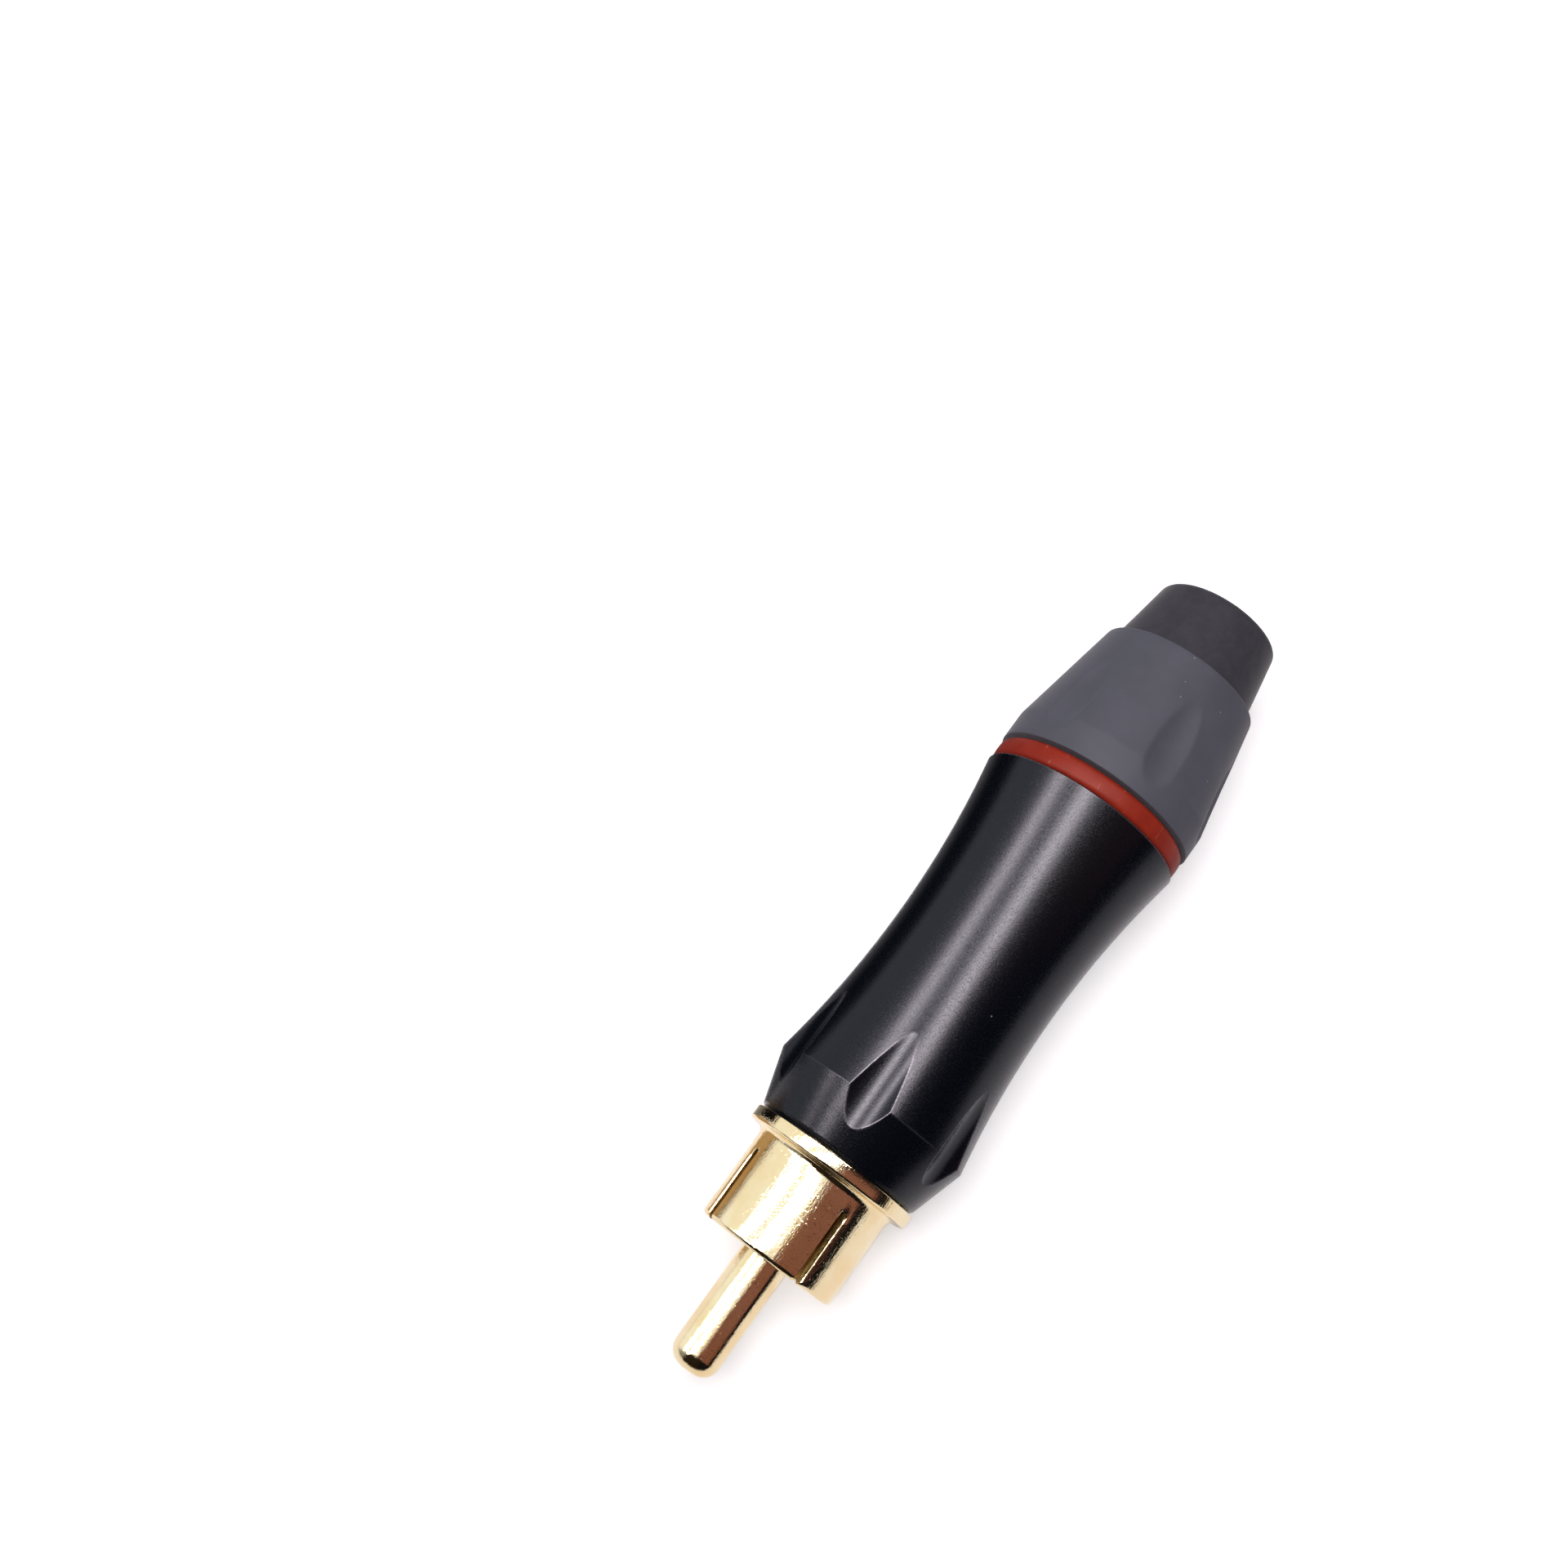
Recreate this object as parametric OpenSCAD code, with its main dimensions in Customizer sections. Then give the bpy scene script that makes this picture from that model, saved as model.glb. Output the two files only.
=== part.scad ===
// Phono plug with a split ground sleeve, a waisted fluted barrel, a colour ring,
// a cable chuck and a screw-in boot with a soft cable gland.
// Lies on its side: +X runs from the pin's tip to the gland, +Z is up.

/* [Centre contact] */
// Diameter of the centre pin
pin_d = 3.2; // [2.8:0.05:3.4]
// Length of pin that stands out of the split sleeve
pin_reach = 7.9; // [6:0.1:10]
// Corner radius of the pin's domed tip
pin_tip_r = 1.1; // [0.4:0.1:1.3]
// Diameter of the pin's rear shank, which ends as the solder cup
cup_d = 2.4; // [2:0.1:2.7]
// Wall of the solder cup
cup_wall = 0.4; // [0.3:0.05:0.6]
// Depth of the solder cup
cup_depth = 3.5; // [2:0.5:5]
// Length of the solder cup behind its insulator
cup_reach = 5; // [3:0.5:7]

/* [Insulator] */
// Depth of the insulator's face inside the sleeve
face_depth = 5.5; // [4:0.1:6]
// Thickness of the insulator's head
head_t = 1.5; // [1:0.1:2]
// Diameter of the insulator's shank
insulator_d = 5.4; // [5:0.1:7]
// Length of shank that stands out behind the ground shell
insulator_reach = 0.8; // [0.2:0.1:2]

/* [Ground shell] */
// Bore of the split sleeve
sleeve_bore_d = 8.3; // [8:0.05:8.5]
// Wall of the split sleeve
sleeve_wall = 0.62; // [0.4:0.02:0.8]
// Length of the sleeve in front of the flange
sleeve_len = 6.35; // [5:0.05:8]
// Number of slots that make the sleeve springy
slot_count = 4; // [2:1:6]
// Width of a slot
slot_w = 0.45; // [0.3:0.05:0.8]
// Solid length between a slot's end and the flange
slot_root = 1.4; // [0.4:0.1:2]
// Turn of the slots against the flutes, as the shell is screwed home
slot_turn = 32.5; // [0:0.5:90]
// Diameter of the flange that seats on the barrel
flange_d = 11.6; // [11.2:0.1:12.4]
// Thickness of the flange
flange_t = 0.9; // [0.6:0.05:2]
// Fillet between the sleeve and the flange
flange_fillet = 0.5; // [0.1:0.05:0.55]
// Diameter over the thread that holds the shell in the barrel
insert_thread_d = 10; // [9.4:0.1:10.2]
// Length of that thread
insert_thread_len = 5; // [3:0.5:7]
// Length of the ground solder tail
tail_len = 8; // [4:0.5:10]
// Wall of the ground solder tail
tail_wall = 0.8; // [0.5:0.1:1]
// Width of the ground solder tail
tail_w = 4.4; // [3:0.1:6]
// Diameter of the wire hole in the tail
tail_hole_d = 1.6; // [1:0.1:2]

/* [Barrel] */
// Largest diameter, at the barrel's rear and the boot's front
body_d = 14; // [13.6:0.1:16]
// Diameter of the waist
waist_d = 11.68; // [11.4:0.02:12.6]
// Length of the barrel
barrel_len = 26.65; // [24:0.05:32]
// Distance from the nose to the waist
waist_from_nose = 14.45; // [12:0.05:15]
// Distance from the nose to the ridge of the grip
ridge_from_nose = 3.75; // [2.5:0.05:5]
// How far the flange stands proud of the nose
flange_proud = 0.14; // [0:0.02:0.2]
// Bevel round the nose
nose_edge = 0.25; // [0.1:0.05:0.4]
// Bevel round the barrel's rear
rear_edge = 0.15; // [0.1:0.05:0.4]
// Number of grip flutes
flute_count = 6; // [4:1:8]
// Radius of a flute
flute_r = 2.5; // [2:0.1:4]
// Depth of a flute below the ridge
flute_depth = 0.62; // [0.3:0.02:0.7]
// Length of the bore behind the front thread's end
thread_relief = 0.8; // [0.4:0.1:1.5]

/* [Chuck] */
// Diameter of the cable that the chuck grips
cable_d = 6; // [5:0.1:6.4]
// Wall of the chuck's fingers
chuck_wall = 1.1; // [0.8:0.05:1.2]
// Step from the fingers out to the seating collar
collar_step = 0.6; // [0.4:0.05:0.7]
// Length of the seating collar
collar_len = 2.4; // [1.5:0.1:3]
// Depth of the chuck's seat below the barrel's rear
seat_depth = 9.5; // [8:0.1:11]
// Step of the seat that the chuck stands on
seat_step = 0.5; // [0.3:0.05:0.6]
// Number of slits in the chuck
slit_count = 4; // [2:1:6]
// Width of a slit
slit_w = 0.8; // [0.4:0.1:1.2]

/* [Colour ring] */
// Width of the ring
ring_w = 1.4; // [0.8:0.1:2]
// Rounding of the ring's edges
ring_edge = 0.4; // [0.2:0.05:0.4]
// How far the ring lies below the body's diameter
ring_inset = 0.08; // [0:0.02:0.2]
// Groove left open between the ring and the boot
ring_gap = 0.15; // [0.1:0.05:0.6]

/* [Boot] */
// Length of the boot behind the colour ring
boot_len = 10; // [9:0.1:14]
// Width of the straight band at the boot's front
boot_band = 2; // [1:0.1:3]
// Wall at the boot's rear edge
boot_lip = 0.48; // [0.4:0.02:0.8]
// Length of the threaded neck inside the barrel
neck_len = 5.1; // [3:0.1:6]
// Wall of the threaded neck
neck_wall = 0.95; // [0.7:0.05:1.1]
// Step from the thread out to the shoulder that carries the colour ring
neck_step = 0.6; // [0.4:0.05:0.7]
// Length of the cone that squeezes the chuck
squeeze_len = 2.4; // [1.5:0.1:3]
// How far that cone narrows, on the radius
squeeze_drop = 0.6; // [0.3:0.05:0.8]
// Thickness of the web between the chuck and the gland
web_t = 1.2; // [0.8:0.1:2]
// Number of finger dimples
dimple_count = 6; // [4:1:8]
// Depth of a dimple
dimple_depth = 0.36; // [0.1:0.02:0.4]
// Distance from the boot's front to the middle of a dimple
dimple_from_front = 3.6; // [3:0.1:5]
// Radius across a dimple
dimple_r = 2.8; // [2:0.1:4]
// Radius along a dimple
dimple_long_r = 20; // [8:0.5:24]
// Turn of the dimples against the flutes, as the boot is screwed home
dimple_turn = 22; // [0:0.5:60]

/* [Cable gland] */
// Diameter of the gland where it leaves the boot
gland_d = 10.1; // [9.6:0.1:10.4]
// Diameter of the gland at its rear
gland_rear_d = 8.5; // [8:0.1:9.4]
// Length of gland that stands out of the boot
gland_reach = 5; // [3:0.1:8]
// Rounding of the gland's rear edge
gland_edge = 0.5; // [0.2:0.05:0.6]

/* [Fits] */
// Radial clearance of the screwed pieces and the turning ring
run_clear = 0.05; // [0.03:0.01:0.1]
// Clearance of the pieces that are pressed together
press_clear = 0.02; // [0.01:0.01:0.05]
// Clearance between the chuck's fingers and the boot
chuck_clear = 0.12; // [0.1:0.01:0.2]
// Radial clearance of the cable in its bores
cable_clear = 0.1; // [0.05:0.05:0.2]
// Radial clearance of the cable in the boot's web
web_clear = 0.5; // [0.3:0.05:0.6]
// Clearance of the ground tail inside the barrel
tail_clear = 0.3; // [0.2:0.05:0.4]

/* [Hidden] */
$fn = 96;

// Room that a cutter runs past the face it cuts
over = 0.5;

// Stations along the axis, from the pin's tip
rim_z = pin_reach;
face_z = rim_z + face_depth;
flange_z = rim_z + sleeve_len;
head_z = face_z + head_t;
shell_z = flange_z + flange_t;
shell_end = shell_z + insert_thread_len;
nose_z = shell_z + run_clear;
ridge_z = nose_z + ridge_from_nose;
waist_z = nose_z + waist_from_nose;
rear_z = nose_z + barrel_len;
seat_z = rear_z - seat_depth;
ring_z = rear_z + run_clear;
boot_z = ring_z + ring_w + ring_gap;
boot_end = boot_z + boot_len;
neck_z = rear_z - neck_len;
squeeze_z = boot_z + run_clear;
web_z = squeeze_z + squeeze_len;
gland_z = web_z + web_t;
plug_len = boot_end + gland_reach;

// Radii
pin_r = pin_d / 2;
cup_r = cup_d / 2;
sleeve_r = sleeve_bore_d / 2 + sleeve_wall;
insert_r = insert_thread_d / 2;
nose_r = flange_d / 2 - flange_proud;
body_r = body_d / 2;
waist_r = waist_d / 2;
cable_r = cable_d / 2 + cable_clear;
web_r = cable_d / 2 + web_clear;
finger_r = cable_r + chuck_wall;
collar_r = finger_r + collar_step;
chamber_r = collar_r + run_clear;
mid_bore_r = chamber_r - seat_step;
tail_r = mid_bore_r - tail_clear;
neck_bore_r = finger_r + chuck_clear;
neck_r = neck_bore_r + neck_wall;
shoulder_r = neck_r + neck_step;
ring_r = body_r - ring_inset;
gland_r = gland_d / 2;
gland_rear_r = gland_rear_d / 2;
boot_rear_r = gland_r + press_clear + boot_lip;

// The waist is one arc that reaches the body's radius at the barrel's rear
waist_rise = body_r - waist_r;
waist_arc = (pow(rear_z - waist_z, 2) + pow(waist_rise, 2)) / (2 * waist_rise);
ridge_r = waist_r + waist_arc - sqrt(pow(waist_arc, 2) - pow(waist_z - ridge_z, 2));
grip_slope = (ridge_r - nose_r) / (ridge_z - nose_z - nose_edge);

// The boot's cone behind its band
boot_slope = (body_r - boot_rear_r) / (boot_len - boot_band);
function boot_cone_r(z) = body_r - boot_slope * (z - boot_z - boot_band);

// Lays a piece that stands on the pin's tip down along X; its +X side turns to face down
module lay_down() {
    translate([-plug_len / 2, 0, body_r])
        rotate([0, 90, 0])
            children();
}

// A solid of revolution from an outline of [radius, station] points
module turned(outline) {
    rotate_extrude()
        polygon(outline);
}

// Copies of a cut, evenly round the axis
module around(count, start = 0) {
    for (i = [0 : count - 1])
        rotate([0, 0, start + i * 360 / count])
            children();
}

module pin_outline() {
    translate([pin_r - pin_tip_r, pin_tip_r])
        intersection() {
            circle(r = pin_tip_r);
            translate([0, -pin_tip_r])
                square(pin_tip_r);
        }
    square([pin_r - pin_tip_r, pin_tip_r]);
    translate([0, pin_tip_r])
        square([pin_r, face_z - press_clear - pin_tip_r]);
}

module centre_pin() {
    cup_z = shell_end + insulator_reach;
    cup_end = cup_z + cup_reach;
    color("gold")
        lay_down()
            difference() {
                union() {
                    rotate_extrude()
                        pin_outline();
                    translate([0, 0, pin_tip_r])
                        cylinder(r = cup_r, h = cup_end - pin_tip_r);
                }
                translate([0, 0, cup_end - cup_depth])
                    cylinder(r = cup_r - cup_wall, h = cup_depth + over);
                // Open side of the cup, facing up
                translate([-cup_d, -cup_r + cup_wall, cup_end - cup_depth])
                    cube([cup_d, cup_d - 2 * cup_wall, cup_depth + over]);
            }
}

module pin_insulator() {
    bore_r = cup_r + press_clear;
    head_r = sleeve_bore_d / 2 - press_clear;
    color("whitesmoke")
        lay_down()
            turned([
                [bore_r, face_z],
                [head_r, face_z],
                [head_r, head_z],
                [insulator_d / 2, head_z],
                [insulator_d / 2, shell_end + insulator_reach],
                [bore_r, shell_end + insulator_reach]
            ]);
}

module ground_tail() {
    difference() {
        translate([0, 0, shell_end - over])
            cylinder(r = tail_r, h = tail_len + over);
        translate([0, 0, shell_end - 2 * over])
            cylinder(r = tail_r - tail_wall, h = tail_len + 3 * over);
        // Only the strip along the underside is left
        translate([-2 * tail_r, -tail_r - over, shell_end - 2 * over])
            cube([2 * tail_r, 2 * (tail_r + over), tail_len + 3 * over]);
        for (side = [-1, 1])
            translate([0, side * (tail_w / 2 + tail_r), shell_end + tail_len / 2])
                cube([3 * tail_r, 2 * tail_r, tail_len + 3 * over], center = true);
        translate([0, 0, shell_end + tail_len - tail_hole_d - tail_wall])
            rotate([0, 90, 0])
                cylinder(d = tail_hole_d, h = tail_r + over);
    }
}

module ground_shell() {
    bore_r = sleeve_bore_d / 2;
    shank_bore_r = insulator_d / 2 + press_clear;
    lip_r = sleeve_wall / 2;
    slot_len = sleeve_len - slot_root;
    color("gold")
        lay_down()
            difference() {
                union() {
                    turned([
                        [bore_r, rim_z + lip_r],
                        [sleeve_r, rim_z + lip_r],
                        [sleeve_r, flange_z - flange_fillet],
                        [sleeve_r + flange_fillet, flange_z],
                        [flange_d / 2 - flange_fillet / 2, flange_z],
                        [flange_d / 2, flange_z + flange_fillet / 2],
                        [flange_d / 2, shell_z],
                        [insert_r, shell_z],
                        [insert_r, shell_end],
                        [shank_bore_r, shell_end],
                        [shank_bore_r, head_z + press_clear],
                        [bore_r, head_z + press_clear]
                    ]);
                    // Rounded rim of the sleeve
                    rotate_extrude()
                        translate([bore_r + lip_r, rim_z + lip_r])
                            circle(r = lip_r);
                    ground_tail();
                }
                around(slot_count, slot_turn)
                    translate([0, -slot_w / 2, rim_z - over])
                        cube([flange_d, slot_w, slot_len + over]);
            }
}

module barrel_outline() {
    front_bore_r = insert_r + run_clear;
    rear_bore_r = neck_r + run_clear;
    front_bore_end = shell_end + thread_relief;
    rear_bore_z = neck_z - thread_relief;
    // The grip's cone and the rear bevel run on past the arc that trims them
    top_r = body_r + 1;
    difference() {
        polygon([
            [front_bore_r, nose_z],
            [nose_r - nose_edge, nose_z],
            [nose_r, nose_z + nose_edge],
            [top_r, nose_z + nose_edge + (top_r - nose_r) / grip_slope],
            [top_r, rear_z - rear_edge - (top_r - body_r)],
            [body_r - rear_edge, rear_z],
            [rear_bore_r, rear_z],
            [rear_bore_r, rear_bore_z],
            [chamber_r, rear_bore_z],
            [chamber_r, seat_z],
            [mid_bore_r, seat_z],
            [mid_bore_r, front_bore_end],
            [front_bore_r, front_bore_end]
        ]);
        translate([waist_r + waist_arc, waist_z])
            circle(r = waist_arc, $fn = 720);
    }
}

module barrel() {
    color("#1b1b1e")
        lay_down()
            difference() {
                rotate_extrude()
                    barrel_outline();
                // Grip flutes, from the nose back to the waist
                around(flute_count)
                    translate([ridge_r - flute_depth + flute_r, 0, nose_z])
                        cylinder(r = flute_r, h = waist_z - nose_z);
            }
}

module colour_ring() {
    bore_r = shoulder_r + run_clear;
    // The rounding stays inside the ring's width
    edge = min(ring_edge, 0.45 * ring_w);
    edge_r = ring_r - edge;
    color("#a02c20")
        lay_down()
            rotate_extrude()
                difference() {
                    union() {
                        for (z = [ring_z + edge, ring_z + ring_w - edge])
                            translate([edge_r, z])
                                circle(r = edge);
                        translate([0, ring_z])
                            square([edge_r, ring_w]);
                        translate([0, ring_z + edge])
                            square([ring_r, ring_w - 2 * edge]);
                    }
                    translate([0, ring_z - over])
                        square([bore_r, ring_w + 2 * over]);
                }
}

module chuck() {
    tip_z = squeeze_z - chuck_clear;
    end_z = web_z - 3 * chuck_clear;
    collar_z = seat_z + run_clear;
    finger_z = collar_z + collar_len;
    color("gainsboro")
        lay_down()
            difference() {
                turned([
                    [cable_r, collar_z],
                    [collar_r, collar_z],
                    [collar_r, finger_z],
                    [finger_r, finger_z],
                    [finger_r, tip_z],
                    [finger_r - squeeze_drop, end_z],
                    [cable_r, end_z]
                ]);
                around(slit_count, 180 / slit_count)
                    translate([0, -slit_w / 2, finger_z + slit_w])
                        cube([collar_r, slit_w, plug_len]);
            }
}

module boot_body() {
    turned([
        [neck_bore_r, neck_z],
        [neck_r, neck_z],
        [neck_r, ring_z],
        [shoulder_r, ring_z],
        [shoulder_r, boot_z],
        [body_r - rear_edge, boot_z],
        [body_r, boot_z + rear_edge],
        [body_r, boot_z + boot_band],
        [boot_rear_r + boot_slope * rear_edge, boot_end - rear_edge],
        [boot_rear_r - rear_edge, boot_end],
        [gland_r + press_clear, boot_end],
        [gland_r + press_clear, gland_z],
        [web_r, gland_z],
        [web_r, web_z],
        [neck_bore_r - squeeze_drop, web_z],
        [neck_bore_r, squeeze_z]
    ]);
}

module boot() {
    dimple_z = boot_z + dimple_from_front;
    color("#58575f")
        lay_down()
            difference() {
                boot_body();
                // Finger dimples: shallow bites of a wheel that lies along the cone
                around(dimple_count, dimple_turn)
                    translate([boot_cone_r(dimple_z) - dimple_depth, 0, dimple_z])
                        rotate([0, -atan(boot_slope), 0])
                            translate([dimple_long_r, 0, 0])
                                rotate([90, 0, 0])
                                    rotate_extrude()
                                        translate([dimple_long_r - dimple_r, 0])
                                            circle(r = dimple_r);
            }
}

module cable_gland() {
    root_z = gland_z + press_clear;
    taper = atan((gland_r - gland_rear_r) / gland_reach);
    edge_r = gland_rear_r - gland_edge;
    edge_z = plug_len - gland_edge;
    color("#2a2a2d")
        lay_down()
            rotate_extrude() {
                polygon([
                    [cable_r, root_z],
                    [gland_r, root_z],
                    [gland_r, boot_end],
                    [edge_r + gland_edge * cos(taper), edge_z + gland_edge * sin(taper)],
                    [edge_r, edge_z],
                    [edge_r, plug_len],
                    [cable_r, plug_len]
                ]);
                translate([edge_r, edge_z])
                    circle(r = gland_edge);
            }
}

centre_pin();
pin_insulator();
ground_shell();
barrel();
colour_ring();
chuck();
boot();
cable_gland();
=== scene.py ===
import math
import bpy
import numpy as np
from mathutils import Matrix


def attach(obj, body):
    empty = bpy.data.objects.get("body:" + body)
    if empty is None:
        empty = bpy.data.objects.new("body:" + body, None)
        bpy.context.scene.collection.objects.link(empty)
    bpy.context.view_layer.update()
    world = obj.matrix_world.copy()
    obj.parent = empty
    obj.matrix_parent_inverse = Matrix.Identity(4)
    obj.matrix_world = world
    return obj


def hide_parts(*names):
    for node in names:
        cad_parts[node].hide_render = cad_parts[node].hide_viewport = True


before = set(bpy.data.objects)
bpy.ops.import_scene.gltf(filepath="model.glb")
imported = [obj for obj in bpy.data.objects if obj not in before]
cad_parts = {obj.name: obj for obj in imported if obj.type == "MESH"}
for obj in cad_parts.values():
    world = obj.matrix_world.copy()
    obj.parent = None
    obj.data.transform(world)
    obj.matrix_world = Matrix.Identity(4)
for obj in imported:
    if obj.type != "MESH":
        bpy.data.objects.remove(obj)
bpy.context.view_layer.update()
print("frame loaded:", ", ".join(sorted(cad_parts)))

mm = 0.001
axisHeight = 7.0  # the plug's axis above the origin, mm
middle = 29.225  # half the plug's length; stations run back from the pin's tip, mm
threadPitch = 0.75  # mm
threadRows = 11  # rows of points in a turn of the thread
threadFade = 0.3  # run-out at a thread's ends, mm
noWall = 99.0  # radius that stands for no wall here, mm
noiseLow = 0.3  # most values of a noise texture lie between these two
noiseHigh = 0.7


# sRGB hex to linear: below 0.04045 a straight line, above it a power of 2.4
def hexLinear(code):
    srgb = np.array([int(code[i:i + 2], 16) for i in (1, 3, 5)]) / 255
    linear = np.where(srgb <= 0.04045, srgb / 12.92, ((srgb + 0.055) / 1.055) ** 2.4)
    return (*linear.tolist(), 1.0)


# adds a node: settings are its properties, links maps an input's name or number to a value
# or an output socket
def addNode(tree, kind, links=None, **settings):
    node = tree.nodes.new(kind)
    for key, value in settings.items():
        setattr(node, key, value)
    for key, value in (links or {}).items():
        if isinstance(value, bpy.types.NodeSocket):
            tree.links.new(value, node.inputs[key])
        else:
            node.inputs[key].default_value = value
    return node


# colour stops as (place, hex) pairs
def setRamp(node, stops):
    points = node.color_ramp.elements
    while len(points) < len(stops):
        points.new(0.5)
    for point, (place, code) in zip(points, stops):
        point.position = place
        point.color = hexLinear(code)
    return node.outputs["Color"]


def newMaterial(name):
    material = bpy.data.materials.new(name)
    material.use_nodes = True
    tree = material.node_tree
    tree.nodes.clear()
    place = addNode(tree, "ShaderNodeTexCoord").outputs["Object"]
    return material, tree, place


def finishMaterial(tree, shader):
    addNode(tree, "ShaderNodeOutputMaterial", {"Surface": shader.outputs[0]})


# smaller of two radii with the corner between them rounded; blend is the difference, in mm,
# over which they mix
def softMin(a, b, blend):
    h = np.clip(0.5 + 0.5 * (b - a) / blend, 0, 1)
    return b + (a - b) * h - blend * h * (1 - h)


# corners as (station, radius, rounding) in mm; each rounded corner becomes an arc that touches
# both its sides, and takes up at most 0.48 of the shorter one
def roundCorners(corners, steps=5, closed=True):
    corners = np.array(corners, float)
    count = len(corners)
    out = []
    for i in range(count):
        here = corners[i, :2]
        if corners[i, 2] <= 0 or (not closed and i in (0, count - 1)):
            out.append(here[None])
            continue
        back = corners[i - 1, :2] - here
        ahead = corners[(i + 1) % count, :2] - here
        reach = 0.48 * min(np.linalg.norm(back), np.linalg.norm(ahead))
        back /= np.linalg.norm(back)
        ahead /= np.linalg.norm(ahead)
        half = 0.5 * np.arccos(np.clip(back @ ahead, -1, 1))
        run = min(corners[i, 2] / np.tan(half), reach)
        radius = run * np.tan(half)
        centre = here + (back + ahead) / np.linalg.norm(back + ahead) * radius / np.sin(half)
        turn = np.pi - 2 * half
        t = np.linspace(0, 1, steps + 1)[:, None]
        start = here + back * run - centre
        end = here + ahead * run - centre
        out.append(centre + (np.sin((1 - t) * turn) * start + np.sin(t * turn) * end) / np.sin(turn))
    return np.concatenate(out)


# points of a turned grid: x = station - middle, y = r sin(angle), z = axis + r cos(angle),
# with the angle from the top
def aroundAxis(station, radius, angle):
    station, radius, angle = np.broadcast_arrays(station, radius, angle)
    x = station - middle
    y = radius * np.sin(angle)
    z = axisHeight + radius * np.cos(angle)
    return np.stack([x, y, z], axis=-1) * mm


# quads of a grid numbered row by row; columns run right round the axis, and rows close
# on themselves in a loop
def gridFaces(rows, columns, loop=True):
    row = np.arange(rows if loop else rows - 1)[:, None]
    column = np.arange(columns)[None, :]
    nextRow = (row + 1) % rows
    nextColumn = (column + 1) % columns
    corners = [row * columns + column, nextRow * columns + column,
               nextRow * columns + nextColumn, row * columns + nextColumn]
    return np.stack(np.broadcast_arrays(*corners), axis=-1)


# slots through a wall: rows first to last run round the wall's free end, and each slot
# takes out its columns
def cutSlots(faces, columns, first, last, slots):
    keep = np.ones(faces.shape[:2], bool)
    walls = []
    run = np.arange((last - first - 1) // 2)
    for start, stop in slots:
        gone = np.arange(start, stop) % columns
        keep[first:last][:, gone] = False
        ladder = np.stack([first + run, first + run + 1, last - run - 1, last - run], axis=-1) * columns
        walls.append(ladder + start % columns)
        walls.append((ladder + stop % columns)[:, ::-1])
        step = (gone + 1) % columns
        floor = [last * columns + gone, last * columns + step,
                 first * columns + step, first * columns + gone]
        walls.append(np.stack(floor, axis=-1))
    return np.concatenate([faces[keep]] + walls)


def makePiece(name, points, faces, material, body, node, sharp=38):
    mesh = bpy.data.meshes.new(name)
    mesh.from_pydata(points.reshape(-1, 3).tolist(), [], faces)
    mesh.shade_smooth()
    mesh.set_sharp_from_angle(angle=math.radians(sharp))
    mesh.materials.append(material)
    piece = bpy.data.objects.new(name, mesh)
    bpy.context.scene.collection.objects.link(piece)
    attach(piece, body)
    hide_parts(node)
    print(f"{name}: {len(mesh.vertices)} points, {len(mesh.polygons)} faces")
    return piece


# a float for each point, which the material reads by name
def pointValues(piece, name, values):
    layer = piece.data.attributes.new(name, "FLOAT", "POINT")
    layer.data.foreach_set("value", np.ascontiguousarray(values, np.float32).ravel())


# right-hand thread cut into a plain shank: depth times a trapezium wave of (station / pitch + turns),
# run out at both ends
def threadCut(station, angle, start, stop, depth):
    turn = station / threadPitch + angle / (2 * np.pi)
    wave = np.clip(1.3 * np.abs(2 * (turn % 1) - 1) - 0.15, 0, 1)
    fade = np.clip((station - start) / threadFade, 0, 1) * np.clip((stop - station) / threadFade, 0, 1)
    return depth * wave * fade


# scattered specks: round spots of speckMm in cells of cellMm, of which only a share holds one
def specks(tree, place, cellMm, speckMm, share):
    cells = addNode(tree, "ShaderNodeTexVoronoi", {"Vector": place, "Scale": 1 / (cellMm * mm)})
    lot = addNode(tree, "ShaderNodeSeparateColor", {0: cells.outputs["Color"]})
    drawn = addNode(tree, "ShaderNodeMath", {0: lot.outputs[0], 1: share}, operation="LESS_THAN")
    spot = addNode(tree, "ShaderNodeMapRange",
                   {0: cells.outputs["Distance"], 1: 0.5 * speckMm / cellMm, 2: 0.2 * speckMm / cellMm})
    shown = addNode(tree, "ShaderNodeMath", {0: spot.outputs[0], 1: drawn.outputs[0]}, operation="MULTIPLY")
    return shown.outputs[0]


# Polished gold plate on turned brass: a warm pale mirror whose reflections are frayed by a fine peel,
# faint lengthwise wipe marks, short slanting scratches and scattered dull specks; inside the sleeve's
# bore it is rougher, and its colour is a painted shade, darker and browner. Depths are in mm; pits are (cell
# mm, speck mm, share).
# bore: a painted shade, the darker brown the gold takes inside the sleeve's bore
gold = dict(colour="#FCEFC8", rubbed="#F3D8A0", bore="#7E6230", roughness=(0.06, 0.12), boreRough=0.38,
            pitRough=0.3, pits=(0.3, 0.1, 0.5), cloudMm=2.6, cloudRange=(0.35, 0.72), peelMm=0.1,
            peelDeep=0.008, wipeMm=0.3, wipeDeep=0.013, wipeStretch=(0.1, 1.0, 1.0), scratchMm=0.11,
            scratchDeep=0.0025, scratchTurn=(0, 0, 0.45), scratchStretch=(1.0, 0.4, 0.7),
            scratchPeaks=(0.64, 0.74))


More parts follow.
